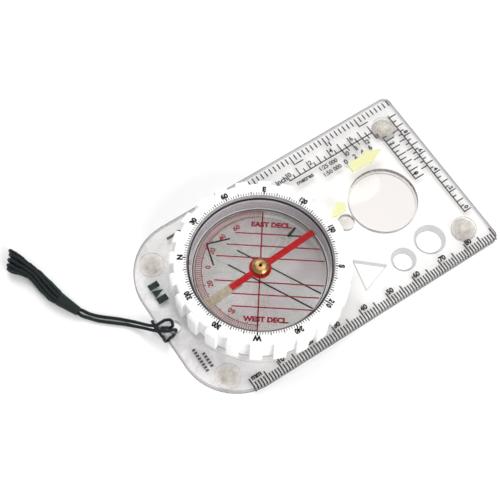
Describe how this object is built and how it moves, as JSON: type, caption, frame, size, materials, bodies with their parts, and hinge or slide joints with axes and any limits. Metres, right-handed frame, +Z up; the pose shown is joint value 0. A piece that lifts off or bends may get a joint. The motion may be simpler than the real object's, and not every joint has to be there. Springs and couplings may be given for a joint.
{
  "type": "baseplate compass",
  "caption": "Baseplate compass with a liquid-filled dial, red needle, clinometer pointer, magnifier, stencils, edge rulers and a cord lanyard",
  "frame": {"origin": "under the middle of the plate, on the plane that its feet rest on, not counting the lanyard", "axes": "+X points to the plate's straight front end, in the direction of travel; +Z is up, on the dial's side; +Y is across the plate, on the side of the inch ruler"},
  "size_m": [0.1327, 0.0772, 0.0139],
  "materials": {
    "clear_acrylic": "polished, see-through",
    "lens_acrylic": "polished, see-through",
    "luminous_yellow": "matt",
    "foot_rubber": "satin, slightly see-through",
    "dial_white": "satin",
    "friction_plastic": "satin",
    "capsule_acrylic": "polished, see-through",
    "seal_rubber": "matt",
    "meridian_film": "glossy, see-through, with red print",
    "orienting_acrylic": "glossy, see-through, with black print",
    "pin_steel": "polished",
    "washer_plastic": "satin",
    "pointer_black": "satin",
    "needle_red": "satin",
    "needle_luminous": "matt",
    "magnet_steel": "ground",
    "cap_brass": "turned and polished",
    "jewel_red": "polished",
    "cord_black": "woven",
    "binding_dark": "woven"
  },
  "bodies": {
    "plate": {"baseplate": "clear_acrylic", "magnifier_lens": "lens_acrylic", "index_stud": "lens_acrylic", "luminous_index": "luminous_yellow", "luminous_arrow": "luminous_yellow", "foot_front_left": "foot_rubber", "foot_front_right": "foot_rubber", "foot_rear_left": "foot_rubber", "foot_rear_right": "foot_rubber", "friction_ring": "friction_plastic", "lanyard_cord": "cord_black", "lanyard_return": "cord_black", "lanyard_sleeve": "binding_dark", "lanyard_hank": "cord_black"},
    "dial": {"dial_ring": "dial_white", "retaining_ring": "dial_white", "capsule_body": "capsule_acrylic", "capsule_lid": "capsule_acrylic", "capsule_seal": "seal_rubber", "fill_plug": "seal_rubber", "meridian_disc": "meridian_film", "pivot_pin": "pin_steel", "pointer_washer": "washer_plastic"},
    "orienting": {"orienting_disc": "orienting_acrylic"},
    "needle": {"needle_blade": "needle_red", "needle_tail": "needle_luminous", "needle_magnet": "magnet_steel", "needle_cap": "cap_brass", "jewel_bearing": "jewel_red"},
    "clinometer": {"clinometer_pointer": "pointer_black"}
  },
  "joints": [
    {"name": "dial_turn", "type": "hinge", "parent": "plate", "child": "dial", "pos_m": [-0.0176, 0, 0.0085], "axis": [0, 0, 1], "continuous": true},
    {"name": "declination_turn", "type": "hinge", "parent": "dial", "child": "orienting", "pos_m": [-0.0176, 0, 0.0085], "axis": [0, 0, 1], "range_deg": [-34, 86]},
    {"name": "needle_spin", "type": "hinge", "parent": "dial", "child": "needle", "pos_m": [-0.0176, 0, 0.0085], "axis": [0, 0, 1], "continuous": true},
    {"name": "clinometer_swing", "type": "hinge", "parent": "dial", "child": "clinometer", "pos_m": [-0.0176, 0, 0.0085], "axis": [0, 0, 1], "continuous": true}
  ]
}
